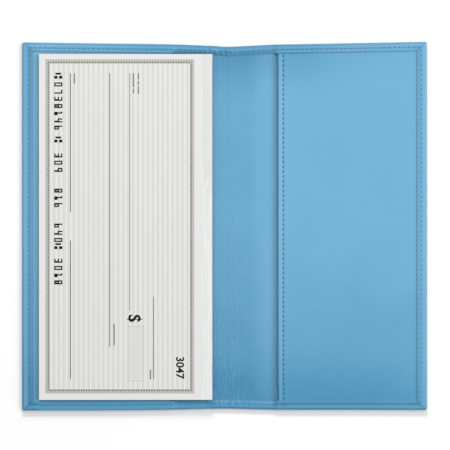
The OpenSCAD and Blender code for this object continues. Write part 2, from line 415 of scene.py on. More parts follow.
def grained_leather(name, pale, deep, lining=False):
    """Fine grained leather with its dye a little uneven. Its colour deepens with painted shade
    towards the foot and round the head of the spine. A point attribute makes it paler above 0, with
    pale bands, painted highlights and painted light, and darker below 0, with dark fold edges,
    painted shade and dark mitre joints."""
    finish = Finish(name)
    at = finish.place()
    across, along, up = finish.axes(at)
    pores = finish.cells(at, 1.9, "SMOOTH_F1")
    creases = finish.cells(at, 1.15, "DISTANCE_TO_EDGE")
    fine = finish.noise(at, 3.4, 3, 0.6)
    cloud = finish.noise(at, 0.045, 3, 0.55)
    # Painted shade and deeper tone, with the dye's random unevenness added
    painted_shade_and_tone = painted_shade_and_deeper_tone(finish, across, along, lining)
    shade = finish.math("ADD", painted_shade_and_tone, finish.span(cloud, 0.3, 0.7, -0.05, 0.07))
    shade = finish.math("ADD", shade, finish.span(fine, 0.3, 0.7, -0.08, 0.08), clamp=True)
    colour = finish.blend(shade, pale, deep)
    colour = finish.blend(finish.span(creases, 0, 0.12, 0.12, 0), colour, deep)
    tone_and_painted_light = finish.attribute("tone_and_painted_light")
    # Paler with pale bands, painted highlights and painted light
    paled = finish.math("MULTIPLY", tone_and_painted_light, 0.5, clamp=True)
    colour = finish.blend(paled, colour, PALE_SKY)
    # Painted light on the left cover's foot hem, against the pad's shadow
    colour = finish.blend(painted_light_on_foot_hem(finish, across, along, up), colour, PAINTED_LIGHT_SKY)
    # Darker on fold edges and mitre joints, and with painted shade in crevices and between puckers
    darkening_and_painted_shade = finish.math("MULTIPLY", tone_and_painted_light, -1, clamp=True)
    if lining:
        # Painted shadow on the lining left of the right pocket's mouth
        mouth_shadow_paint = finish.span(across, MOUTH_X - 3.6, MOUTH_X - 0.6, 0, 0.46)
        darkening_and_painted_shade = finish.math("MAXIMUM", darkening_and_painted_shade, mouth_shadow_paint)
    colour = finish.blend(darkening_and_painted_shade, colour, NIGHT_SKY)
    grain = finish.math("ADD", finish.product(pores, 0.7), finish.product(fine, 0.5))
    grain = finish.math("ADD", grain, finish.span(creases, 0, 0.2, 0, 0.5))
    normal = finish.relief(grain, 0.00006, 0.55)
    if lining:
        colour, normal = spine_flecks(finish, across, along, colour, normal)
    return finish.dress(
        Base_Color=colour,
        Roughness=finish.span(fine, 0.3, 0.7, 0.43, 0.56),
        Specular_IOR_Level=0.5,
        Sheen_Weight=0.12,
        Sheen_Roughness=0.4,
        Normal=normal,
    )


SKY = rgb(107, 174, 210)
DEEP_SKY = rgb(60, 142, 184)
# Pale colour of pale bands, painted highlights and painted light, crests and fuzz
PALE_SKY = rgb(158, 204, 226)
# Dark colour of dark fold edges, mitre joints and painted shade
NIGHT_SKY = rgb(58, 92, 112)
# Colour of the painted light on the left cover's foot hem
PAINTED_LIGHT_SKY = rgb(104, 186, 230)

LINING_SKY = rgb(104, 171, 207)
DEEP_LINING_SKY = rgb(58, 136, 177)
PALE_THREAD = rgb(94, 146, 192)

leather = grained_leather("grained_leather", SKY, DEEP_SKY)
lining_leather = grained_leather("lining_leather", LINING_SKY, DEEP_LINING_SKY, lining=True)


def twisted_thread(name, dark, pale, foot_paling=0):
    """Twisted thread, which may be paler along the foot."""
    finish = Finish(name)
    at = finish.place(turn=math.radians(45))
    inputs = {"Vector": at, "Scale": 0.9, "Distortion": 0.6, "Detail": 1}
    twist = finish.node("ShaderNodeTexWave", inputs, wave_profile="SIN").outputs["Fac"]
    fuzz = finish.noise(finish.place(), 6, 3, 0.7)
    colour = finish.blend(twist, dark, pale)
    colour = finish.blend(finish.span(fuzz, 0.4, 0.75, 0, 0.25), colour, PALE_SKY)
    _, along, _ = finish.axes(finish.place())
    at_foot = finish.span(along, -77, -78, 0, foot_paling)
    colour = finish.blend(at_foot, colour, PALE_THREAD)
    return finish.dress(
        Base_Color=colour,
        Roughness=finish.span(fuzz, 0.3, 0.7, 0.5, 0.7),
        Normal=finish.relief(twist, 0.00006, 0.8),
        Sheen_Weight=0.2,
        Sheen_Roughness=0.5,
    )


def pressed_fibre(name, pale, dark):
    """Board or sheet of pressed fibres."""
    finish = Finish(name)
    at = finish.place()
    fibres = finish.noise(finish.place((1, 0.25, 1), 0.3), 2.2, 4, 0.7)
    cloud = finish.noise(at, 0.12, 3, 0.5)
    mixed = finish.math("MULTIPLY_ADD", cloud, 0.5, finish.span(fibres, 0.3, 0.7, 0, 0.6))
    return finish.dress(
        Base_Color=finish.blend(mixed, pale, dark),
        Roughness=finish.span(fibres, 0.3, 0.7, 0.75, 0.92),
        Normal=finish.relief(fibres, 0.00004, 0.6),
    )


rim_thread = twisted_thread("rim_thread", rgb(38, 92, 129), rgb(76, 134, 171), 0.7)
mouth_thread = twisted_thread("mouth_thread", rgb(14, 62, 94), rgb(38, 96, 130), 0.45)
stiffener = pressed_fibre("stiffener_fibre", rgb(186, 184, 176), rgb(140, 138, 132))
grey_board = pressed_fibre("grey_board", rgb(200, 193, 178), rgb(158, 150, 136))


def dress_as_paper(finish, colour, fibres):
    return finish.dress(
        Base_Color=colour,
        Roughness=finish.span(fibres, 0.3, 0.7, 0.62, 0.74),
        Normal=finish.relief(fibres, 0.00002, 0.4),
    )


def safety_paper():
    """Plain paper of the checks under the top one."""
    finish = Finish("safety_paper")
    fibres = finish.noise(finish.place(), 1.6, 4, 0.65)
    colour = finish.blend(finish.span(fibres, 0.3, 0.7), rgb(236, 235, 232), rgb(226, 225, 222))
    return dress_as_paper(finish, colour, fibres)


paper = safety_paper()

# The exterior leather

# Stations round a corner, by their turn, and along the head and the foot, closer by the spine
CORNER_TURNS = [90 * i / 8 for i in range(9)]
COVER_XS = [24 + 3.2 * i for i in range(1, 19)]
HEAD_XS = [-x for x in reversed(COVER_XS)] + [x * 0.3 for x in range(-80, 81)] + COVER_XS

# Inside this inset the leather is plain and flat
FLOOR_INSET = 6

# Insets of the section's points under the hem, on top of it and under the cover, with more of
# them in the seam's grooves
UNDER_HEM = [2.2, 2.5, 2.8, 3.1, 3.4, 3.7, HEM_END_W - 0.08]
ON_HEM = [3.82, 3.6, 3.3, 3, 2.8, 2.65, 2.5, 2.4, 2.3, 2.2, 2.1, 1.95, 1.75, 1.4, 1]
UNDER_COVER = [1.2, 1.8, 1.95, 2.1, 2.2, 2.3, 2.4, 2.5, 2.65, 2.9]
# Below 1, the fold's section is squarer than an ellipse
FOLD_POWER = 0.75


def edge_point(station, inset):
    """Point of the outline at a station, inset by a distance."""
    x, turn, half, side = station
    if turn is None:
        return x, side * (outline(x, side) - inset)
    r = max(CORNER_R - inset, INNER_R)
    cx = FORE_X - fore_inset(inset) - r
    a = math.radians(turn)
    reach = outline(half * cx, side) - inset - r + r * math.sin(a)
    return half * (cx + r * math.cos(a)), side * reach


def head_stations(side):
    """Stations from the left fore edge over the head, or the foot, to the right fore edge."""
    return (
        [(0, turn, -1, side) for turn in CORNER_TURNS]
        + [(x, None, 0, side) for x in HEAD_XS]
        + [(0, turn, 1, side) for turn in reversed(CORNER_TURNS)]
    )


def hem_top(inset, climb, lip_t=LIP_T, sunk=0.1):
    """Height of the hem's top, which thins towards its skived inner edge and is sunk along the
    seam."""
    under = FLOOR_Z + POCKET_T * climb
    thin = (HEM_T - lip_t) * ease((inset - 2.5) / 1.4)
    groove = sunk * bump_at(inset, RIM_SEAM, 0.35)
    return under + HEM_T + rise(inset, climb) - thin - groove


def rim_section(climb, lip_t, sunk=0.1):
    """Section of the turned edge, as (inset, z, where), from the floor leather's inner end over
    the fold and the hem, and back round the outside to the underside."""
    under = FLOOR_Z + POCKET_T * climb
    half = (under + HEM_T) / 2
    inner = (under - LEATHER_T) / 2
    points = [(FLOOR_INSET, LEATHER_T, "in")]
    for i in range(7):
        a = math.radians(270 - 180 * i / 6)
        points.append((half + inner * math.cos(a), LEATHER_T + inner + inner * math.sin(a), "in"))
    for inset in UNDER_HEM:
        points.append((inset, under + rise(inset, climb), "in"))
    lip = under + rise(HEM_END_W, climb) + lip_t / 2
    for i in range(1, 5):
        a = math.radians(-90 + 180 * i / 5)
        inset = HEM_END_W - 0.1 + 0.1 * math.cos(a)
        points.append((inset, lip + lip_t / 2 * math.sin(a), "lip"))
    for inset in ON_HEM:
        points.append((inset, hem_top(inset, climb, lip_t, sunk), "top"))
    for i in range(15):
        a = math.radians(90 + 180 * i / 14)
        out = FOLD_R * abs(math.cos(a)) ** FOLD_POWER
        up = half * math.copysign(abs(math.sin(a)) ** FOLD_POWER, math.sin(a))
        points.append((FOLD_R - out, half + up, "edge"))
    for inset in UNDER_COVER:
        points.append((inset, 0.3 * bump_at(inset, RIM_SEAM, 0.3), "under"))
    points.append((FLOOR_INSET, 0, "under"))
    return points


def lip_at(turn):
    """Thickness of the hem's inner edge, which is left thicker at the fore edges."""
    return LIP_T if turn is None else mix(FORE_LIP_T, LIP_T, ease(turn / 90))


def pucker(x, side, inset):
    """How the hem gathers where it is turned round the dip of the spine, in millimetres."""
    fine = ripple(x * 0.95, side * 9, inset * 0.3)
    finer = ripple(x * 2.1, side * 5, inset * 0.6)
    near = bump_at(x, -0.5, 9) * ease((inset - 0.9) / 1.2)
    return near * 0.42 * max(-0.4, fine + 0.5 * finer)


def hem_tone_and_painted_light(x, y, z):
    """Tone and painted light of the turned edge at a point: above 0 where it is paler, below where
    it is darker.
    """
    side = 1 if y > 0 else -1
    fore, end = FORE_X - abs(x), outline(x, side) - abs(y)
    edge = min(fore, end)
    over = ease((z - 0.9) / 0.7)
    if end < fore:
        # Pale outside the seam and dark on the fold, and gathered leather has painted highlights on
        # its crests and painted shade between them
        tone_and_painted_light = 0.3 * bump_at(edge, 1.5, 0.4) * over - 0.42 * bump_at(edge, 0.1, 0.6)
        if side > 0:
            # Painted shade on the head hem inside the seam
            tone_and_painted_light -= mix(0.28, 0.2, ease((x + 8) / 8)) * ease((edge - 2.1) / 0.5) * over
        else:
            # Painted light on the foot hem inside the seam, right of the spine
            tone_and_painted_light += 0.24 * bump_at(edge, 2.85, 0.4) * ease((x - 12) / 8) * over
        gathered = pucker(x, side, min(end, 3.2)) * over
        tone_and_painted_light += (1.6 if side < 0 else 0.4) * max(0, gathered) + 3 * min(0, gathered)
        inner, weight = HEM_END_W, 0.1
    else:
        # The right fold has a painted highlight, and both hems are rubbed towards the foot
        tone_and_painted_light = 0.3 * bump_at(edge, 1.3, 0.5) * over - 0.5 * bump_at(edge, 0, 0.45)
        if x > 0:
            tone_and_painted_light = 0.9 * bump_at(edge, 0, 0.9)
        paled = 0.3 * bump_at(edge, 2.7, 0.8) + 0.3 * ease((-y - 35) / 40)
        tone_and_painted_light += paled * ease((edge - 0.6) / 0.6) * over
        inner, weight = HEM_FORE_W, 0.25
    mitre = bump_at(fore - fore_inset(end), 0, 0.3) * ease((end - 0.6) / 0.5)
    tone_and_painted_light -= 0.4 * mitre * ease((HEM_END_W - end) / 0.3) * over
    # Painted highlight just inside the hem's inner edge, and painted shade in the crevice at the
    # edge
    lip = bump_at(edge, inner - 0.4, 0.25) - 1.6 * bump_at(edge, inner, 0.16)
    return tone_and_painted_light + weight * lip * ease((z - 1.8) / 0.1)


def exterior_leather():
    """One hide over both covers and the spine, turned over all four edges."""
    head, foot = head_stations(1), head_stations(-1)
    ring = head + foot[::-1] + head[:1]
    n, count = len(head), len(ring)
    rows = range(len(rim_section(0, LIP_T)))

    def place(column, row):
        station = ring[column]
        x, turn, half, side = station
        climb = 1 if turn is not None else climb_at(x)
        sunk = 0.03 if side < 0 or half < 0 else 0.1
        inset, z, where = rim_section(climb, lip_at(turn), sunk)[row]
        px, py = edge_point(station, inset)
        wave = ripple(px * 0.11, py * 0.11, 3.1)
        if where in ("lip", "top"):
            z += 0.02 * wave
            if turn is None:
                z += pucker(px, side, inset)
            else:
                z -= 0.22 * bump_at(turn, 45, 9) * ease((inset - 0.6) / 0.8)
        if where == "lip" and turn is None:
            py -= side * 0.07 * wave
        return px, py, z

    bm = lay_grid(range(count), rows, place)
    # The leather's inside and underside are closed between the head and the foot
    for row in (rows[0], rows[-1]):
        verts = bm.verts[row * count : row * count + 2 * n]
        edges = set()
        for chain in (verts[:n], verts[n:]):
            for a, b in zip(chain, chain[1:]):
                edges.add(bm.edges.get((a, b)))
        bmesh.ops.bridge_loops(bm, edges=list(edges))
        bm.verts.ensure_lookup_table()
    bmesh.ops.remove_doubles(bm, verts=bm.verts, dist=0.0005)
    bmesh.ops.recalc_face_normals(bm, faces=bm.faces)
    piece = finish_mesh("ExteriorLeather", bm, leather)
    add_tone_and_painted_light(piece, hem_tone_and_painted_light)
    sharpen(piece, 75)
    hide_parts("left_leather", "spine_leather", "right_leather")
    bend_at_spine(piece)


# Sheets inside the fold


def bent_grid(xs, rows, z, thickness, height=lambda x, y: 0):
    """A sheet from fore edge to fore edge and from fold to fold, with its underside at z."""

    def place(x, share):
        inset = (FLOOR_Z + POCKET_T * climb_at(x) + HEM_T) / 2
        y = mix(inset - outline(x, -1), outline(x, 1) - inset, share)
        return x, y, z + thickness + height(x, y)

    bm = lay_grid(xs, spread(0, 1, rows), place)
    thicken(bm, bm.faces[:], thickness)
    return bm


SHEET_X = FORE_X - SHEET_INSET


def lining_height(x, y):
    """Soft lengthwise wrinkles in the lining over the spine."""
    near = bump_at(x, 1.5, 8)
    long_way = ripple(x * 0.55, y * 0.018, 7)
    short_way = ripple(x * 1.3, y * 0.05, 2)
    ends = 1 + 1.2 * bump_at(y, -78, 22) + 0.5 * bump_at(y, 78, 12)
    return -0.02 + near * ends * (0.05 * long_way + 0.03 * short_way)


def inner_sheets():
    """The reinforcement and the lining, with more columns where they bend."""
    xs = [-SHEET_X, -45, -12] + spread(-6, 6, 24) + [12, 45, SHEET_X]
    bm = bent_grid(xs, 8, LEATHER_T, REINFORCEMENT_T)
    piece = finish_mesh("Reinforcement", bm, stiffener)
    sharpen(piece)
    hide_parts("left_reinforcement", "spine_reinforcement", "right_reinforcement")
    bend_at_spine(piece)
    xs = [-SHEET_X, -60, -35] + spread(-22, 26, 140) + [40, 60, SHEET_X]
    bm = bent_grid(xs, 90, LINING_Z, LINING_T, lining_height)
    piece = finish_mesh("Lining", bm, lining_leather)
    sharpen(piece)
    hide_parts("left_lining", "spine_lining", "right_lining")
    bend_at_spine(piece)


# Pockets

# Insets of a pocket's rows from the foot and from the head, up to its middle
POCKET_INSETS = [SHEET_INSET, 1.9, 2.3, 2.6, 2.9, 3.2, 3.5, 3.8, 4.2, 4.8, 6, 8, 11, 15, 20]

# At the fore edges, where the hem is wider, an inset past RIM_SPLIT counts for this share
FORE_SLOPE = 0.72


def pocket_rows():
    """Rows across a pocket: an inset from the foot, a share of the middle, or one from the head."""
    return (
        [("foot", d) for d in POCKET_INSETS]
        + [("middle", i / 24) for i in range(1, 24)]
        + [("head", d) for d in reversed(POCKET_INSETS)]
    )


def pocket_columns():
    """Columns round a pocket's section: from the fore edge along the underside to the mouth,
    round its nose, and back over the top."""
    fore = [SHEET_INSET, 1.9, 2.3, 2.6, 2.9, 3.25, 3.6, 4, 4.5, 5.2, 7, 10, 15, 23, 32]
    field = [MOUTH_X + d for d in (28, 20, 13, 9, 6.5, 5.4, 4.9, 4.6, 4.3, 4)]
    turned = [MOUTH_X + d for d in (3.6, 3.2, 3, 2.85, 2.7, 2.55, 2.4, 2.2, 1.8, 1.3, 0.8)]
    xs = [FORE_X - d for d in fore] + field + turned
    nose = [180 * i / 10 for i in range(11)]
    return (
        [("under", x) for x in xs]
        + [("nose", -90 - a) for a in nose]
        + [("top", x) for x in reversed(xs)]
    )


def cover_of(half):
    """Body of the left half (-1) or the right half (1)."""
    return "right_cover" if half > 0 else "left_cover"


def pocket(name, half, node):
    """Pocket leather: sewn into the rim on three sides, and turned under along its mouth."""

    def place(column, row):
        kind, value = column
        if kind == "nose":
            a = math.radians(value)
            x = MOUTH_X + NOSE_R + NOSE_R * math.cos(a)
        else:
            x = value
        where, d = row
        wx = half * x
        head, foot = outline(wx, 1), outline(wx, -1)
        if where == "foot":
            y = d - foot
        elif where == "head":
            y = head - d
        else:
            y = mix(POCKET_INSETS[-1] - foot, head - POCKET_INSETS[-1], d)
        end = min(head - y, foot + y)
        fore = FORE_X - x
        if fore > RIM_SPLIT:
            fore = RIM_SPLIT + (fore - RIM_SPLIT) * FORE_SLOPE
        inset = min(end, fore)
        drop = LIFT * (1 - slope(inset))
        pillow = 0.1 * (1 - ease(inset / 9))
        loose = 0.03 * ripple(wx * 0.05, y * 0.04, half * 4)
        soft = (loose - pillow) * ease((inset - 3.4) / 2)
        turned = 1 - ease((x - MOUTH_X - TURN_W + 0.5) / 0.8)
        ridge = 0.05 * turned - 0.03
        seam = -0.12 * bump_at(x, MOUTH_X + MOUTH_SEAM, 0.3)
        if kind == "top":
            z = FIELD_Z + soft + ridge + seam - drop - 0.01
        elif kind == "nose":
            z = FIELD_Z + soft + 0.02 - NOSE_R + NOSE_R * math.sin(a) - drop
        else:
            z = max(FLOOR_Z + 0.01, FIELD_Z - POCKET_T - TURN_T * turned - drop)
        z += mouth_gape(half, x - MOUTH_X, end)
        # The mouth bows a little where it meets the rim
        bow = 0.22 * bump_at(y, -75, 5) - 0.12 * bump_at(y, 76, 4)
        x += bow * (1 - ease((x - MOUTH_X) / 6))
        return half * x, y, z

    def tone_and_light_at(x, y, z):
        over = ease((z - 2.8) / 0.3)
        fore = FORE_X - abs(x)
        # Painted highlight on the mouth's nose, and painted shade at its edge
        paled = 0.5 * bump_at(abs(x), MOUTH_X + 1.15, 0.45)
        tone_and_painted_light = (paled - 0.3 * bump_at(abs(x), MOUTH_X, 0.4)) * over
        # Painted shade in the crevice at the fore hem's inner edge
        tone_and_painted_light -= 0.5 * bump_at(fore, HEM_FORE_W, 0.2)
        if half < 0:
            # Painted light on the left pocket beside the pad, against the pad's shadow
            tone_and_painted_light += 0.5 * bump_at(fore, 6.2, 1.6)
        return tone_and_painted_light

    bm = lay_grid(pocket_columns(), pocket_rows(), place)
    # The two layers of the fore edge meet there, and the ends are capped
    close_loops(bm)
    piece = finish_mesh(name, bm, leather)
    add_tone_and_painted_light(piece, tone_and_light_at)
    sharpen(piece, 60)
    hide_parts(node)
    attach(piece, cover_of(half))


# Stitching

# Heights of a stitch's middle: over the hem's groove, from a pocket's top, and over the table
RIM_STITCH_Z = 0.06
MOUTH_STITCH_Z = -0.13
OUTER_STITCH_Z = 0.19

# Stitches turn by up to this much either way, in radians
RIM_SWAY = 0.05
MOUTH_SWAY = 0.06

# Two long stitches lock the right pocket's mouth to the foot of the rim: x and length
TACKS = ((22.3, 2.7), (26.7, 3.6))
TACK_Z = 0.03


def one_stitch(length, radius):
    """A short thread, pressed a little flat, whose ends dive into the leather."""
    bm = bmesh.new()
    bmesh.ops.create_uvsphere(bm, u_segments=8, v_segments=6, radius=radius)
    lie_down = Matrix.Rotation(math.pi / 2, 3, "Y")
    bmesh.ops.rotate(bm, verts=bm.verts, cent=(0, 0, 0), matrix=lie_down)
    straight = length / 2 - radius * 0.8
    for v in bm.verts:
        if abs(v.co.x) > 0.001:
            v.co.x += math.copysign(straight, v.co.x)
        v.co.z = v.co.z * 0.85 - 0.16 * (v.co.x / (length / 2)) ** 4
    return mesh_of("stitch", bm)


rim_stitch = one_stitch(STITCH_L, THREAD_R)
mouth_stitch = one_stitch(MOUTH_STITCH_L, MOUTH_THREAD_R)


def add_stitch(bm, stitch, place, turn, tilt=0, flip=False):
    """Sews one stitch at a place, turned along the seam and tilted with the leather."""
    at = Matrix.Translation(place) @ Matrix.Rotation(turn, 4, "Z") @ Matrix.Rotation(-tilt, 4, "Y")
    if flip:
        at = at @ Matrix.Rotation(math.pi, 4, "X")
    stitch.transform(at)
    bm.from_mesh(stitch)
    stitch.transform(at.inverted())


def rim_height(x):
    """Height of the threads over the rim at x."""
    return hem_top(RIM_SEAM, climb_at(x)) + RIM_STITCH_Z


def rim_tilt(x):
    """Angle at which the rim climbs at x, over the length of a stitch."""
    return math.atan((rim_height(x + STITCH_L / 2) - rim_height(x - STITCH_L / 2)) / STITCH_L)


def rim_stitching():
    """The seam round the rim, on the inside and on the outside of the cover."""
    bm = bmesh.new()
    draw = random.Random(4)
    end_x = FORE_X - FORE_SEAM
    for side in (1, -1):
        count = round(2 * end_x / STITCH_PITCH)
        pitch = 2 * end_x / count
        for i in range(count):
            x = -end_x + (i + 0.5) * pitch
            y = side * (outline(x, side) - RIM_SEAM)
            dy = side * (outline(x + 0.5, side) - outline(x - 0.5, side))
            turn = math.atan(dy) + draw.uniform(-RIM_SWAY, RIM_SWAY)
            inside = (x, y, rim_height(x) + pucker(x, side, RIM_SEAM))
            add_stitch(bm, rim_stitch, inside, turn, rim_tilt(x))
            add_stitch(bm, rim_stitch, (x, y, OUTER_STITCH_Z), turn, flip=True)
    for half in (1, -1):
        top = outline(half * end_x, 1) - RIM_SEAM - 0.4
        foot = outline(half * end_x, -1) - RIM_SEAM - 0.4
        count = round((top + foot) / STITCH_PITCH)
        for i in range(count):
            y = mix(-foot, top, (i + 0.5) / count)
            turn = math.pi / 2 + draw.uniform(-RIM_SWAY, RIM_SWAY)
            add_stitch(bm, rim_stitch, (half * end_x, y, rim_height(end_x)), turn)
            add_stitch(bm, rim_stitch, (half * end_x, y, OUTER_STITCH_Z), turn, flip=True)
    piece = finish_mesh("RimStitching", bm, rim_thread)
    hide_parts("left_rim_stitching", "spine_rim_stitching", "right_rim_stitching")
    bend_at_spine(piece)


def pocket_stitching(name, half, node):
    """The seam along a pocket's mouth."""
    bm = bmesh.new()
    draw = random.Random(7 + half)
    x = half * (MOUTH_X + MOUTH_SEAM)
    top = outline(x, 1) - HEM_END_W
    foot = outline(x, -1) - HEM_END_W
    count = round((top + foot) / STITCH_PITCH)
    for i in range(count):
        y = mix(-foot, top, (i + 0.5) / count)
        bow = 0.2 * bump_at(y, -75, 5)
        end = min(outline(x, 1) - y, outline(x, -1) + y)
        height = FIELD_Z + MOUTH_STITCH_Z + mouth_gape(half, MOUTH_SEAM, end)
        turn = math.pi / 2 + draw.uniform(-MOUTH_SWAY, MOUTH_SWAY)
        add_stitch(bm, mouth_stitch, (x + half * bow, y, height), turn)
    if half > 0:
        for x, length in TACKS:
            at = (x, RIM_SEAM - outline(x, -1), rim_height(x) + TACK_Z)
            add_stitch(bm, one_stitch(length, MOUTH_THREAD_R), at, 0, rim_tilt(x))
    piece = finish_mesh(name, bm, mouth_thread)
    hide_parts(node)
    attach(piece, cover_of(half))


exterior_leather()
inner_sheets()
pocket("LeftPocket", -1, "left_pocket")
pocket("RightPocket", 1, "right_pocket")
rim_stitching()
pocket_stitching("LeftPocketStitching", -1, "left_pocket_stitching")
pocket_stitching("RightPocketStitching", 1, "right_pocket_stitching")

# The check pad

CHECK_L = 152.4
PAD_X = 81.8
PAD_EDGE_X = 5.5
STUB_W = 4.9

# Thickness of a check, rise from one to the next, their number, and the lowest one's height
CHECK_T = 0.1
CHECK_STEP = 0.11
CHECK_COUNT = 25
PAD_Z = 3.88
PRINT_Z = PAD_Z + (CHECK_COUNT - 1) * CHECK_STEP + CHECK_T
LOOSE = 0.05
LOOSE_TURN = 0.0006

CARD_T = 0.3
CARD_Y = 75.3
TONGUE_Z = 2.1
CARD_BEND = (-23.1, -18.9)
CARD_Z = PAD_Z - 0.01

# Thickness of the binding strip, and the height of its lower edge
BINDING_T = 0.08
BINDING_LOW_Z = 3.48

# Outside of the printed border, as left, right, foot and head, and the width of its band
FRAME_BOX = (-79, -13.4, -73.4, 73.9)
BAND = 1.75
# Pitch of the paper's stripes, and of the border's loops along x and along y
STRIPE_PITCH = 2.18
LOOPS_X = 2.3
LOOPS_Y = 2.16

# Printed marks are this thick, and the pale field under others is half as thick
INK_T = 0.012
FIELD_T = 0.006


def printed_paper():
    """Paper of the top check: fine stripes, and a border of small loops between two lines."""
    finish = Finish("printed_paper")
    at = finish.place()
    x, y, _ = finish.axes(at)
    fibres = finish.noise(at, 1.6, 4, 0.65)
    left, right, foot, head = FRAME_BOX
    from_left = finish.math("SUBTRACT", x, left)
    from_right = finish.math("SUBTRACT", right, x)
    from_foot = finish.math("SUBTRACT", y, foot)
    from_head = finish.math("SUBTRACT", head, y)
    from_sides = finish.math("MINIMUM", from_left, from_right)
    inside = finish.math("MINIMUM", from_sides, finish.math("MINIMUM", from_foot, from_head))
    stripe = finish.math("COSINE", finish.product(x, 2 * math.pi / STRIPE_PITCH))
    within = finish.span(inside, BAND, BAND + 0.1)
    stripe = finish.product(finish.span(stripe, 0.9, -0.9), within)
    colour = finish.blend(stripe, rgb(231, 230, 228), rgb(217, 216, 214))
    run = finish.product(y, 2 * math.pi / LOOPS_Y)
    run = finish.math("MULTIPLY_ADD", x, 2 * math.pi / LOOPS_X, run)
    across = finish.product(finish.math("SUBTRACT", inside, BAND / 2), 2 / BAND)
    swing = finish.product(finish.math("SINE", run), 0.6)
    cord_a = finish.math("ABSOLUTE", finish.math("SUBTRACT", across, swing))
    cord_b = finish.math("ABSOLUTE", finish.math("ADD", across, swing))
    ink = finish.math("MAXIMUM", finish.span(cord_a, 0.34, 0.2), finish.span(cord_b, 0.34, 0.2))
    inner_rule = finish.span(across, 0.72, 0.86)
    outer_rule = finish.span(across, -0.72, -0.86)
    ink = finish.math("MAXIMUM", ink, finish.math("MAXIMUM", inner_rule, outer_rule))
    band = finish.product(finish.span(inside, 0, 0.05), finish.span(inside, BAND + 0.05, BAND))
    tint = finish.blend(finish.product(band, 0.55), colour, rgb(206, 203, 194))
    weight = finish.span(inside, 0.5, 1.2, 0.5, 1)
    inked = finish.product(finish.product(ink, band), weight)
    colour = finish.blend(inked, tint, rgb(112, 110, 104))
    colour = finish.blend(finish.span(fibres, 0.3, 0.7, 0, 0.06), colour, rgb(190, 190, 186))
    return dress_as_paper(finish, colour, fibres)


def binding_paper():
    """Bluish white paper of the binding strip, with soft creases along it, painted shade over its
    upper part that leaves a painted highlight along its left edge, and a small slanting nick with a
    painted glint."""
    finish = Finish("binding_paper")
    fibres = finish.noise(finish.place(), 1.8, 4, 0.65)
    across, along, _ = finish.axes(finish.place())
    creases = finish.noise(finish.place((0.8, 0.06, 1)), 1, 4, 0.6)
    colour = finish.blend(finish.span(creases, 0.35, 0.65), rgb(225, 229, 228), rgb(235, 238, 236))
    # Painted shade over the upper part, leaving a painted highlight along the left edge
    shaded = finish.product(finish.span(along, 10, 26, 0, 0.8), finish.span(across, -9.9, -9.5))
    colour = finish.blend(shaded, colour, rgb(219, 222, 220))
    nick_x, nick_y = -8.3, 17.8
    from_nick = finish.math("SUBTRACT", along, nick_y)
    slant = finish.math("MULTIPLY_ADD", from_nick, -0.36, across)
    off = finish.math("ABSOLUTE", finish.math("SUBTRACT", slant, nick_x))
    reach = finish.math("ABSOLUTE", from_nick)
    nick_and_glint = finish.product(finish.span(off, 0.32, 0.1), finish.span(reach, 2.8, 1.6))
    # Painted glint along the nick
    colour = finish.blend(nick_and_glint, colour, rgb(250, 252, 251))
    colour = finish.blend(finish.span(fibres, 0.3, 0.7, 0, 0.15), colour, rgb(214, 220, 222))
    height = finish.math("MULTIPLY_ADD", fibres, 0.2, finish.math("ADD", creases, nick_and_glint))
    return finish.dress(
        Base_Color=colour,
        Roughness=finish.span(fibres, 0.3, 0.7, 0.42, 0.55),
        Normal=finish.relief(height, 0.00012, 0.6),
    )


def printing_ink(name, dark, pale):
    """Dull ink with a fine speckle."""
    finish = Finish(name)
    speckle = finish.noise(finish.place(), 5, 3, 0.7)
    return finish.dress(
        Base_Color=finish.blend(finish.span(speckle, 0.35, 0.7), dark, pale),
        Specular_IOR_Level=0.2,
        Roughness=finish.span(speckle, 0.3, 0.7, 0.5, 0.7),
        Normal=finish.relief(speckle, 0.00001, 0.4),
    )


printed = printed_paper()
binding = binding_paper()
ink_black = printing_ink("black_ink", rgb(4, 4, 6), rgb(20, 20, 22))
ink_grey = printing_ink("grey_ink", rgb(118, 118, 116), rgb(146, 146, 144))
ink_light = printing_ink("light_ink", rgb(186, 186, 183), rgb(198, 198, 195))
ink_pale = printing_ink("pale_ink", rgb(219, 218, 216), rgb(224, 223, 221))


def pad_piece(name, bm, material, node):
    """A piece of the check pad that stands for a node of the model."""
    piece = finish_mesh(name, bm, material)
    sharpen(piece)
    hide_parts(node)
    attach(piece, "check_pad")


def sheet_of_paper(bm, z, shift, columns=6, rows=12):
    """One check, a thin sheet with its stub, shifted and turned about its bound edge."""
    dx, dy, turn = shift
    made = bmesh.ops.create_grid(bm, x_segments=columns, y_segments=rows, size=0.5)["verts"]
    for v in made:
        v.co.x = mix(-PAD_X, -PAD_EDGE_X, v.co.x + 0.5)
        v.co.y = v.co.y * CHECK_L
        away = (-PAD_EDGE_X - v.co.x) / (PAD_X - PAD_EDGE_X)
        v.co.x += dx * away
        v.co.y += (dy + turn * (v.co.x + PAD_EDGE_X)) * away
        v.co.z = z + CHECK_T
    thicken(bm, list(dict.fromkeys(f for v in made for f in v.link_faces)), CHECK_T)


def check_leaves():
    """The checks under the top one, a little out of line."""
    bm = bmesh.new()
    draw = random.Random(11)
    for i in range(CHECK_COUNT - 1):
        shift = [draw.uniform(-most, most) for most in (LOOSE, LOOSE, LOOSE_TURN)]
        sheet_of_paper(bm, PAD_Z + i * CHECK_STEP, shift, columns=1, rows=1)
    piece = finish_mesh("CheckLeaves", bm, paper, flat=True)
    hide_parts("check_leaves")
    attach(piece, "check_pad")


def top_check():
    bm = bmesh.new()
    sheet_of_paper(bm, PRINT_Z - CHECK_T, (0, 0, 0))
    pad_piece("TopCheck", bm, printed, "top_check")


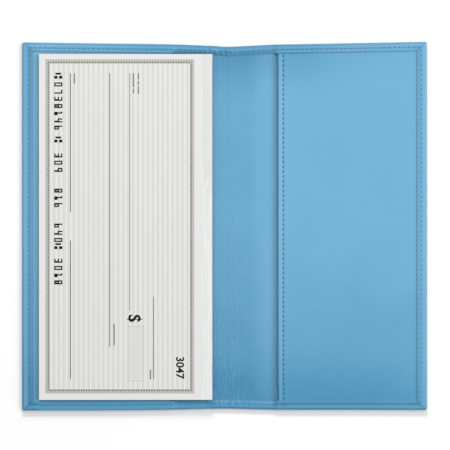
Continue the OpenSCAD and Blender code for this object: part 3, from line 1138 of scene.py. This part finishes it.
def binding_strip():
    """Strip folded over the stub, from the top check to the card's underside."""
    edge = -PAD_EDGE_X + 0.02
    r = 0.3
    profile = [(-PAD_EDGE_X - STUB_W, PRINT_Z), (-PAD_EDGE_X - STUB_W / 2, PRINT_Z)]
    for a in spread(0, math.pi / 2, 5):
        profile.append((edge - r + r * math.sin(a), PRINT_Z + 0.03 - r + r * math.cos(a)))
    profile += [(edge, mix(PRINT_Z - r, BINDING_LOW_Z, t)) for t in (0.35, 0.7, 1)]

    def place(point, y):
        return point[0], y, point[1] + 0.01

    bm = lay_grid(profile, spread(-CHECK_L / 2, CHECK_L / 2, 40), place)
    thicken(bm, bm.faces[:], BINDING_T, up=False)
    pad_piece("BindingStrip", bm, binding, "binding_strip")


def bar(bm, low, high, raised=INK_T):
    """A flat bar of ink between two corners, (x, y)."""
    made = bmesh.ops.create_cube(bm, size=1)["verts"]
    size = (high[0] - low[0], high[1] - low[1], raised)
    bmesh.ops.scale(bm, vec=size, verts=made)
    middle = ((low[0] + high[0]) / 2, (low[1] + high[1]) / 2, PRINT_Z + raised / 2)
    bmesh.ops.translate(bm, verts=made, vec=middle)


# Strokes of a plain counting digit in a cell of 1 by 1: (left, foot, right, head)
STROKES = {
    "a": (0, 0.84, 1, 1),
    "b": (0.68, 0.5, 1, 1),
    "c": (0.68, 0, 1, 0.5),
    "C": (0.55, 0, 1, 0.5),
    "d": (0, 0, 1, 0.16),
    "e": (0, 0, 0.32, 0.5),
    "E": (0, 0, 0.45, 0.5),
    "f": (0, 0.5, 0.32, 1),
    "g": (0, 0.42, 1, 0.58),
    "i": (0.28, 0, 0.6, 1),
    "t": (0.05, 0.84, 0.4, 1),
    "h": (0.15, 0, 1, 0.4),
    "u": (0.5, 0.6, 1.2, 1),
    "v": (0.5, 0, 1.2, 0.4),
    "w": (-0.25, 0.15, 0.2, 0.85),
}
DIGITS = {
    "0": "abcdef",
    "1": "ith",
    "3": "abgCd",
    "4": "fgbC",
    "6": "fEgcd",
    "7": "abc",
    "8": "abfgECd",
    "9": "abfgC",
    ":": "uvw",
}
# The row's foot and head across the check, the step from figure to figure, and their width
FIGURE_XS = (-75.1, -71.5)
FIGURE_STEP = 3.17
FIGURE_W = 1.8

# Groups of figures along the check's foot, each with the y at which it begins
FIGURE_GROUPS = [(67.5, ":"), (63.7, "0738146"), (39.4, ":"), (32.4, "309"), (16.9, "816")]
FIGURE_GROUPS += [(1.5, "640"), (-7.6, ":"), (-14, "3018")]


def bank_digits(bm):
    """Row of plain counting digits along the check's foot, read from its right side."""
    x_low, x_high = FIGURE_XS
    height = x_high - x_low
    for start, signs in FIGURE_GROUPS:
        for i, sign in enumerate(signs):
            top = start - i * FIGURE_STEP
            for key in DIGITS[sign]:
                left, foot, right, head = STROKES[key]
                low = (x_low + foot * height, top - right * FIGURE_W)
                bar(bm, low, (x_low + head * height, top - left * FIGURE_W))


# Writing lines of the check: x, ends in y, and half width
WRITING_LINES = [
    (-67.95, 6.6, 67.8, 0.15),
    (-67.95, -67.1, -6, 0.15),
    (-50.6, -52.8, 67.8, 0.15),
    (-41.8, -36.9, 67.8, 0.11),
    (-31.3, -67.2, -30.7, 0.13),
]

# Short plain bars beside the writing lines: x, and ends in y of each
LABEL_BARS = [
    (-66.2, ((67.7, 63.2),)),
    (-38, ((67.7, 65), (64.4, 62.6), (62, 58.6))),
    (-40.2, ((67.7, 61.6), (61, 58.9))),
    (-48.7, ((-42.6, -52.2),)),
    (-32.7, ((-62.9, -67.1),)),
]

# Place for the amount: low corner, high corner and the width of its frame
AMOUNT_BOX = (-42.6, -67.9, -35.7, -43.8, 0.2)

# The check's number and the currency sign, as text, size, x, y and boldness, and the sign's bar
NUMBER_TEXT = ("3047", 4.9, -21.3, -57.1, 0.12)
SIGN_TEXT = ("S", 7.2, -42.2, -38.6, 0.2)
SIGN_BAR = ((-43.1, -40.85), (-36.1, -40.5))


def amount_field(bm):
    """Pale field of the place for the amount."""
    x0, y0, x1, y1, w = AMOUNT_BOX
    bar(bm, (x0 + w, y0 + w), (x1 - w, y1 - w), raised=FIELD_T)


def amount_frame(bm):
    """Four bars round the place for the amount."""
    x0, y0, x1, y1, w = AMOUNT_BOX
    bar(bm, (x0, y0), (x0 + w, y1))
    bar(bm, (x1 - w, y0), (x1, y1))
    bar(bm, (x0, y0), (x1, y0 + w))
    bar(bm, (x0, y1 - w), (x1, y1))


def labels(bm):
    for x, spans in LABEL_BARS:
        for y1, y0 in spans:
            bar(bm, (x - 0.3, y0), (x + 0.3, y1))


def raised_text(bm, text, size, x, y, bold):
    """Flat figures that read from the check's right side."""
    curve = bpy.data.curves.new("figures", "FONT")
    curve.body = text
    curve.size = size
    curve.offset = bold
    curve.extrude = INK_T / 2
    figure = add_object("figures", curve)
    made = bpy.data.meshes.new_from_object(figure)
    on_check = Matrix.Translation((x, y, PRINT_Z + INK_T / 2))
    made.transform(on_check @ Matrix.Rotation(-math.pi / 2, 4, "Z"))
    welded = bmesh.new()
    welded.from_mesh(made)
    bmesh.ops.remove_doubles(welded, verts=welded.verts, dist=0.003)
    bmesh.ops.dissolve_degenerate(welded, edges=welded.edges, dist=0.003)
    bmesh.ops.recalc_face_normals(welded, faces=welded.faces)
    welded.to_mesh(made)
    welded.free()
    bm.from_mesh(made)
    bpy.data.objects.remove(figure)
    bpy.data.meshes.remove(made)


def figures(bm):
    """All that is printed in black: digits, number, currency sign and writing lines."""
    bank_digits(bm)
    raised_text(bm, *NUMBER_TEXT)
    raised_text(bm, *SIGN_TEXT)
    bar(bm, *SIGN_BAR)
    for x, y0, y1, half in WRITING_LINES:
        bar(bm, (x - half, y0), (x + half, y1))


def check_print():
    """What is printed on the top check, one piece for each ink."""
    for name, fill, ink in (
        ("CheckFigures", figures, ink_black),
        ("AmountFrame", amount_frame, ink_light),
        ("CheckLabels", labels, ink_grey),
        ("AmountBox", amount_field, ink_pale),
    ):
        bm = bmesh.new()
        fill(bm)
        piece = finish_mesh(name, bm, ink, flat=True)
        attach(piece, "check_pad")


def backing_card():
    """Card under the checks, whose tongue lies in the left pocket and bends up past its mouth."""
    profile = [(-PAD_X, TONGUE_Z), (-50, TONGUE_Z)]
    for t in spread(0, 1, 10):
        profile.append((mix(*CARD_BEND, t), mix(TONGUE_Z, CARD_Z, ease(t))))
    profile += [(-14, CARD_Z), (-PAD_EDGE_X, CARD_Z)]
    bm = lay_grid(profile, spread(-CARD_Y, CARD_Y, 12), lambda point, y: (point[0], y, point[1]))
    thicken(bm, bm.faces[:], CARD_T)
    pad_piece("BackingCard", bm, grey_board, "backing_card")


check_leaves()
top_check()
binding_strip()
check_print()
backing_card()

# The studio

# The floor glows this much under the object and far from it, and grows between these distances
FLOOR_GLOW = 0.1
FAR_GLOW = 0.9
GLOW_FROM = 160
GLOW_TO = 420
# The floor is this far under the object, and reaches this far from the middle
FLOOR_DROP = 0.05
FLOOR_REACH = 6000

# Strength of the world as a light. The camera sees it white
SKY_LIGHT = 0.47

# Lamps: name, place in metres, size in metres, and power in watts
LAMPS = [
    ("KeyLight", (0.55, 0.12, 1.15), 0.8, 5.3),
    ("HeadLight", (-0.05, 1.1, 1.05), 0.35, 9.6),
]

# The camera looks straight down from CAMERA_FAR metres. Its view is VIEW_W millimetres wide at
# the height VIEW_Z, round CENTRE
CAMERA_FAR = 4
SENSOR_W = 36
VIEW_W = 198.5
VIEW_Z = 3
CENTRE = (0.165, 0.86)


def studio_floor():
    """A pale floor that takes the object's shadow and turns white further out."""
    finish = Finish("studio_floor")
    path = finish.node("ShaderNodeLightPath", {}).outputs
    seen = finish.math("ADD", path["Is Camera Ray"], path["Is Glossy Ray"])
    seen = finish.math("ADD", seen, path["Is Transmission Ray"], clamp=True)
    at = finish.node("ShaderNodeTexCoord", {}).outputs["Object"]
    across, along, _ = finish.axes(at)
    far = finish.length(across, along)
    level = finish.span(far, GLOW_FROM * MM, GLOW_TO * MM, FLOOR_GLOW, FAR_GLOW)
    glow = finish.node("ShaderNodeEmission", {"Strength": finish.product(seen, level)})
    diffuse = finish.node("ShaderNodeBsdfDiffuse", {"Color": (0.93, 0.93, 0.93, 1)})
    both = finish.node("ShaderNodeAddShader", {0: diffuse.outputs[0], 1: glow.outputs[0]})
    finish.feed(finish.tree.nodes["Material Output"], {"Surface": both.outputs[0]})
    finish.tree.nodes.remove(finish.shader)
    bm = bmesh.new()
    bmesh.ops.create_grid(bm, x_segments=1, y_segments=1, size=FLOOR_REACH * MM)
    bmesh.ops.translate(bm, verts=bm.verts, vec=(0, 0, -FLOOR_DROP * MM))
    mesh = mesh_of("Floor", bm)
    mesh.materials.append(finish.material)
    add_object("Floor", mesh)


def lamp(name, place, size, power):
    """A round lamp that points at the object."""
    data = bpy.data.lights.new(name, "AREA")
    data.shape = "DISK"
    data.size = size
    data.energy = power
    made = add_object(name, data)
    made.location = place
    made.rotation_mode = "QUATERNION"
    made.rotation_quaternion = (-Vector(place)).to_track_quat("-Z", "Y")


def world_light():
    """A plain world, which the camera sees white."""
    world = bpy.data.worlds.new("Studio")
    bpy.context.scene.world = world
    world.use_nodes = True
    tree = world.node_tree
    path = tree.nodes.new("ShaderNodeLightPath")
    level = tree.nodes.new("ShaderNodeMix")
    level.inputs["A"].default_value = SKY_LIGHT
    level.inputs["B"].default_value = 1
    tree.links.new(path.outputs["Is Camera Ray"], level.inputs["Factor"])
    backdrop = tree.nodes["Background"]
    backdrop.inputs["Color"].default_value = (1, 1, 1, 1)
    tree.links.new(level.outputs["Result"], backdrop.inputs["Strength"])


def camera_above():
    camera = bpy.data.cameras.new("Camera")
    camera.sensor_width = SENSOR_W
    camera.lens = SENSOR_W * (CAMERA_FAR - VIEW_Z * MM) / (VIEW_W * MM)
    camera.clip_start, camera.clip_end = 0.05, 20
    eye = add_object("Camera", camera)
    eye.location = (CENTRE[0] * MM, CENTRE[1] * MM, CAMERA_FAR)
    bpy.context.scene.camera = eye


studio_floor()
world_light()
for settings in LAMPS:
    lamp(*settings)
camera_above()
bpy.context.scene.view_settings.view_transform = "Standard"
